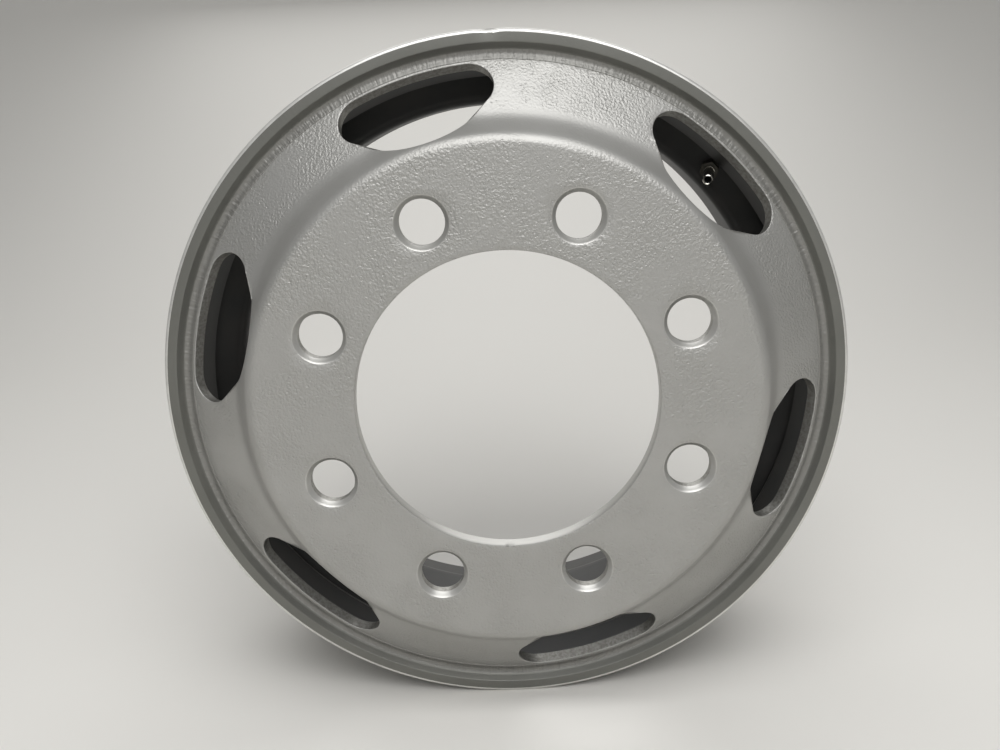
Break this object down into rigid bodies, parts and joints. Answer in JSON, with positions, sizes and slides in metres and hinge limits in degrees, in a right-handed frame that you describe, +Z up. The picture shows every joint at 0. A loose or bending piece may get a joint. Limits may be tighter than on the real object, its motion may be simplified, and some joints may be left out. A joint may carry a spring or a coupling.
{
  "type": "truck wheel",
  "caption": "Steel truck disc wheel: drop-centre rim for a tubeless tyre, welded dished disc with hub bore, ball-seat bolt holes, hand holes and a clamped tyre valve.",
  "frame": {"origin": "centre of the hub bore, on the hub-side face of the nave", "axes": "+Y along the axle towards the hub, -Y out of the convex side, +Z up with the valve to the upper right seen from the convex side"},
  "size_m": [0.5206, 0.2407, 0.5206],
  "materials": {
    "silver_paint": "semi-gloss, pitted, dusty",
    "valve_metal": "dull plated",
    "grommet_rubber": "matt"
  },
  "bodies": {
    "root": {"rim": "silver_paint", "disc": "silver_paint", "disc_weld": "silver_paint", "valve_stem": "valve_metal", "valve_nut": "valve_metal", "valve_washer": "valve_metal", "valve_grommet": "grommet_rubber"}
  },
  "joints": []
}
